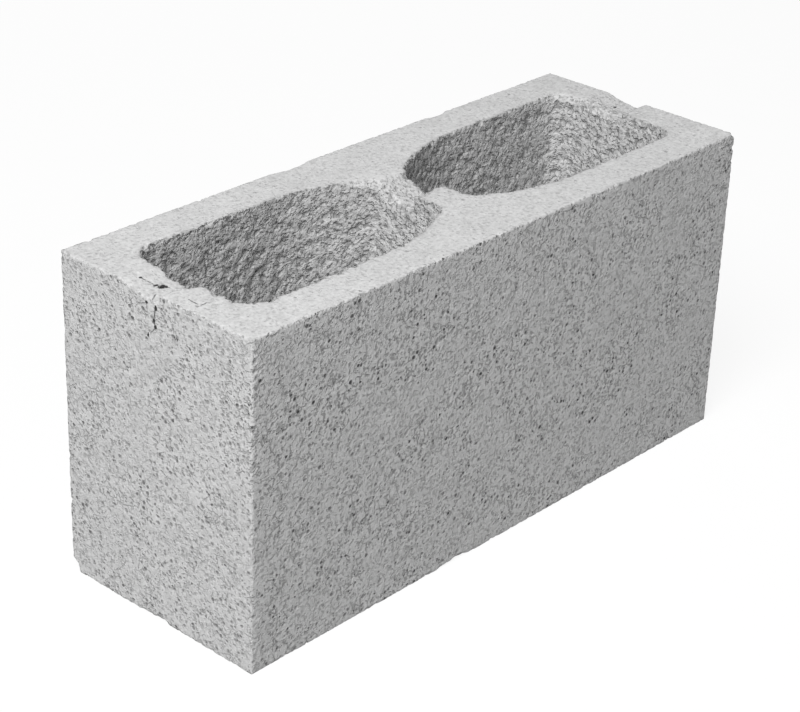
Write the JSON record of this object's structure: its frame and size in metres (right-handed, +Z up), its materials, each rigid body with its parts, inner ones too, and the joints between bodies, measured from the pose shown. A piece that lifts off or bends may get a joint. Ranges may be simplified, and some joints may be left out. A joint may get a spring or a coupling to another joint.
{
  "type": "hollow concrete block",
  "caption": "Hollow concrete masonry block with drafted through cells that flare in towards the centre web, for laying in mortar as walling.",
  "frame": {"origin": "middle of the lower bed face, on the floor that the block stands on", "axes": "+X along the block's length, +Y across its width, +Z up towards the bed face where the cells are widest"},
  "size_m": [0.39, 0.14, 0.19],
  "materials": {
    "concrete": "rough, open-textured grey concrete as it leaves the mould"
  },
  "bodies": {
    "root": {"block": "concrete"}
  },
  "joints": []
}
